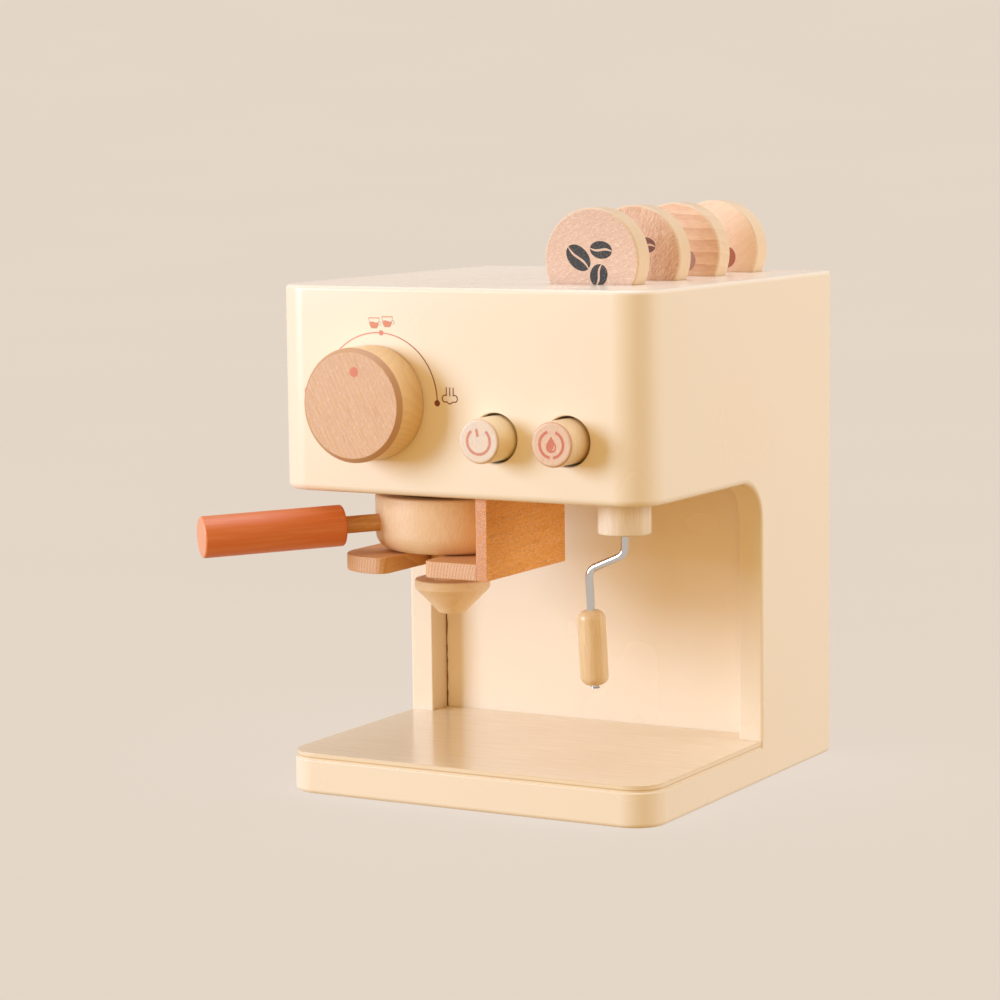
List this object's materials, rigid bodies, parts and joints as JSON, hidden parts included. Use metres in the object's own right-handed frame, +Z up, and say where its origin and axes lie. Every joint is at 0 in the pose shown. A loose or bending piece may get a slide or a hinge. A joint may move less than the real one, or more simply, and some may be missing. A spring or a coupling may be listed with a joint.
{
  "type": "toy coffee maker",
  "caption": "Toy espresso machine in painted board with a turning knob, two push buttons, a slide-in portafilter, a swivelling steam wand and discs standing in slots on top.",
  "frame": {"origin": "middle of the footprint, on the surface that the base stands on", "axes": "+Z up, -Y towards the front of the machine, +X to its right as seen by the player facing it"},
  "size_m": [0.2016, 0.2284, 0.2543],
  "materials": {
    "cream_paint": "smooth satin cream paint on board",
    "birch": "clear satin lacquer on birch",
    "beech": "oiled turned beech",
    "terracotta_paint": "semi-gloss terracotta paint on wood",
    "chrome_wire": "polished",
    "steel": "zinc plated"
  },
  "bodies": {
    "body": {"base_board": "cream_paint", "tray_plate": "birch", "left_side_panel": "cream_paint", "right_side_panel": "cream_paint", "front_panel": "cream_paint", "top_panel": "cream_paint", "head_floor": "cream_paint", "column_panel": "cream_paint", "rear_panel": "cream_paint", "button_guide": "birch", "panel_dowels": "beech", "base_screws": "steel", "holder_wall": "beech", "holder_plate": "beech", "holder_dowels": "beech", "holder_screws": "steel", "wand_collar": "birch", "power_spring": "steel", "water_spring": "steel"},
    "knob": {"knob": "beech", "knob_axle": "beech", "knob_retainer": "birch"},
    "power_button": {"power_button": "beech", "power_plunger": "birch"},
    "water_button": {"water_button": "beech", "water_plunger": "birch"},
    "filter_neck": {"filter_neck": "beech"},
    "portafilter": {"filter_cup": "beech", "spout_cone": "beech", "handle_dowel": "birch", "handle_grip": "terracotta_paint"},
    "steam_wand": {"wand_wire": "chrome_wire", "wand_clip": "chrome_wire"},
    "wand_grip": {"wand_grip": "beech"},
    "coffee_disc_1": {"coffee_disc_1": "beech"},
    "coffee_disc_2": {"coffee_disc_2": "beech"},
    "coffee_disc_3": {"coffee_disc_3": "beech"},
    "coffee_disc_4": {"coffee_disc_4": "beech"}
  },
  "joints": [
    {"name": "knob_turn", "type": "hinge", "parent": "body", "child": "knob", "pos_m": [-0.039, -0.094, 0.173], "axis": [0, 1, 0], "continuous": true},
    {"name": "power_press", "type": "slide", "parent": "body", "child": "power_button", "axis": [0, 1, 0], "range_m": [0, 0.005], "stiffness_N_per_m": 200, "springref_m": -0.002, "deforming": ["power_spring"]},
    {"name": "water_press", "type": "slide", "parent": "body", "child": "water_button", "axis": [0, 1, 0], "range_m": [0, 0.005], "stiffness_N_per_m": 200, "springref_m": -0.002, "deforming": ["water_spring"]},
    {"name": "filter_slide", "type": "slide", "parent": "body", "child": "filter_neck", "axis": [0, -1, 0], "range_m": [0, 0.06]},
    {"name": "filter_turn", "type": "hinge", "parent": "filter_neck", "child": "portafilter", "pos_m": [-0.0292, -0.047, 0.105], "axis": [0, 0, 1], "range_deg": [-47, 43]},
    {"name": "wand_turn", "type": "hinge", "parent": "body", "child": "steam_wand", "pos_m": [0.0665, -0.0685, 0.13], "axis": [0, 0, 1], "continuous": true},
    {"name": "wand_grip_turn", "type": "hinge", "parent": "steam_wand", "child": "wand_grip", "pos_m": [0.0495, -0.0685, 0.1032], "axis": [0.0523, 0, -0.9986], "continuous": true},
    {"name": "disc_1_lift", "type": "slide", "parent": "body", "child": "coffee_disc_1", "axis": [0, 0, 1], "range_m": [0, 0.05]},
    {"name": "disc_2_lift", "type": "slide", "parent": "body", "child": "coffee_disc_2", "axis": [0, 0, 1], "range_m": [0, 0.05]},
    {"name": "disc_3_lift", "type": "slide", "parent": "body", "child": "coffee_disc_3", "axis": [0, 0, 1], "range_m": [0, 0.05]},
    {"name": "disc_4_lift", "type": "slide", "parent": "body", "child": "coffee_disc_4", "axis": [0, 0, 1], "range_m": [0, 0.05]}
  ]
}
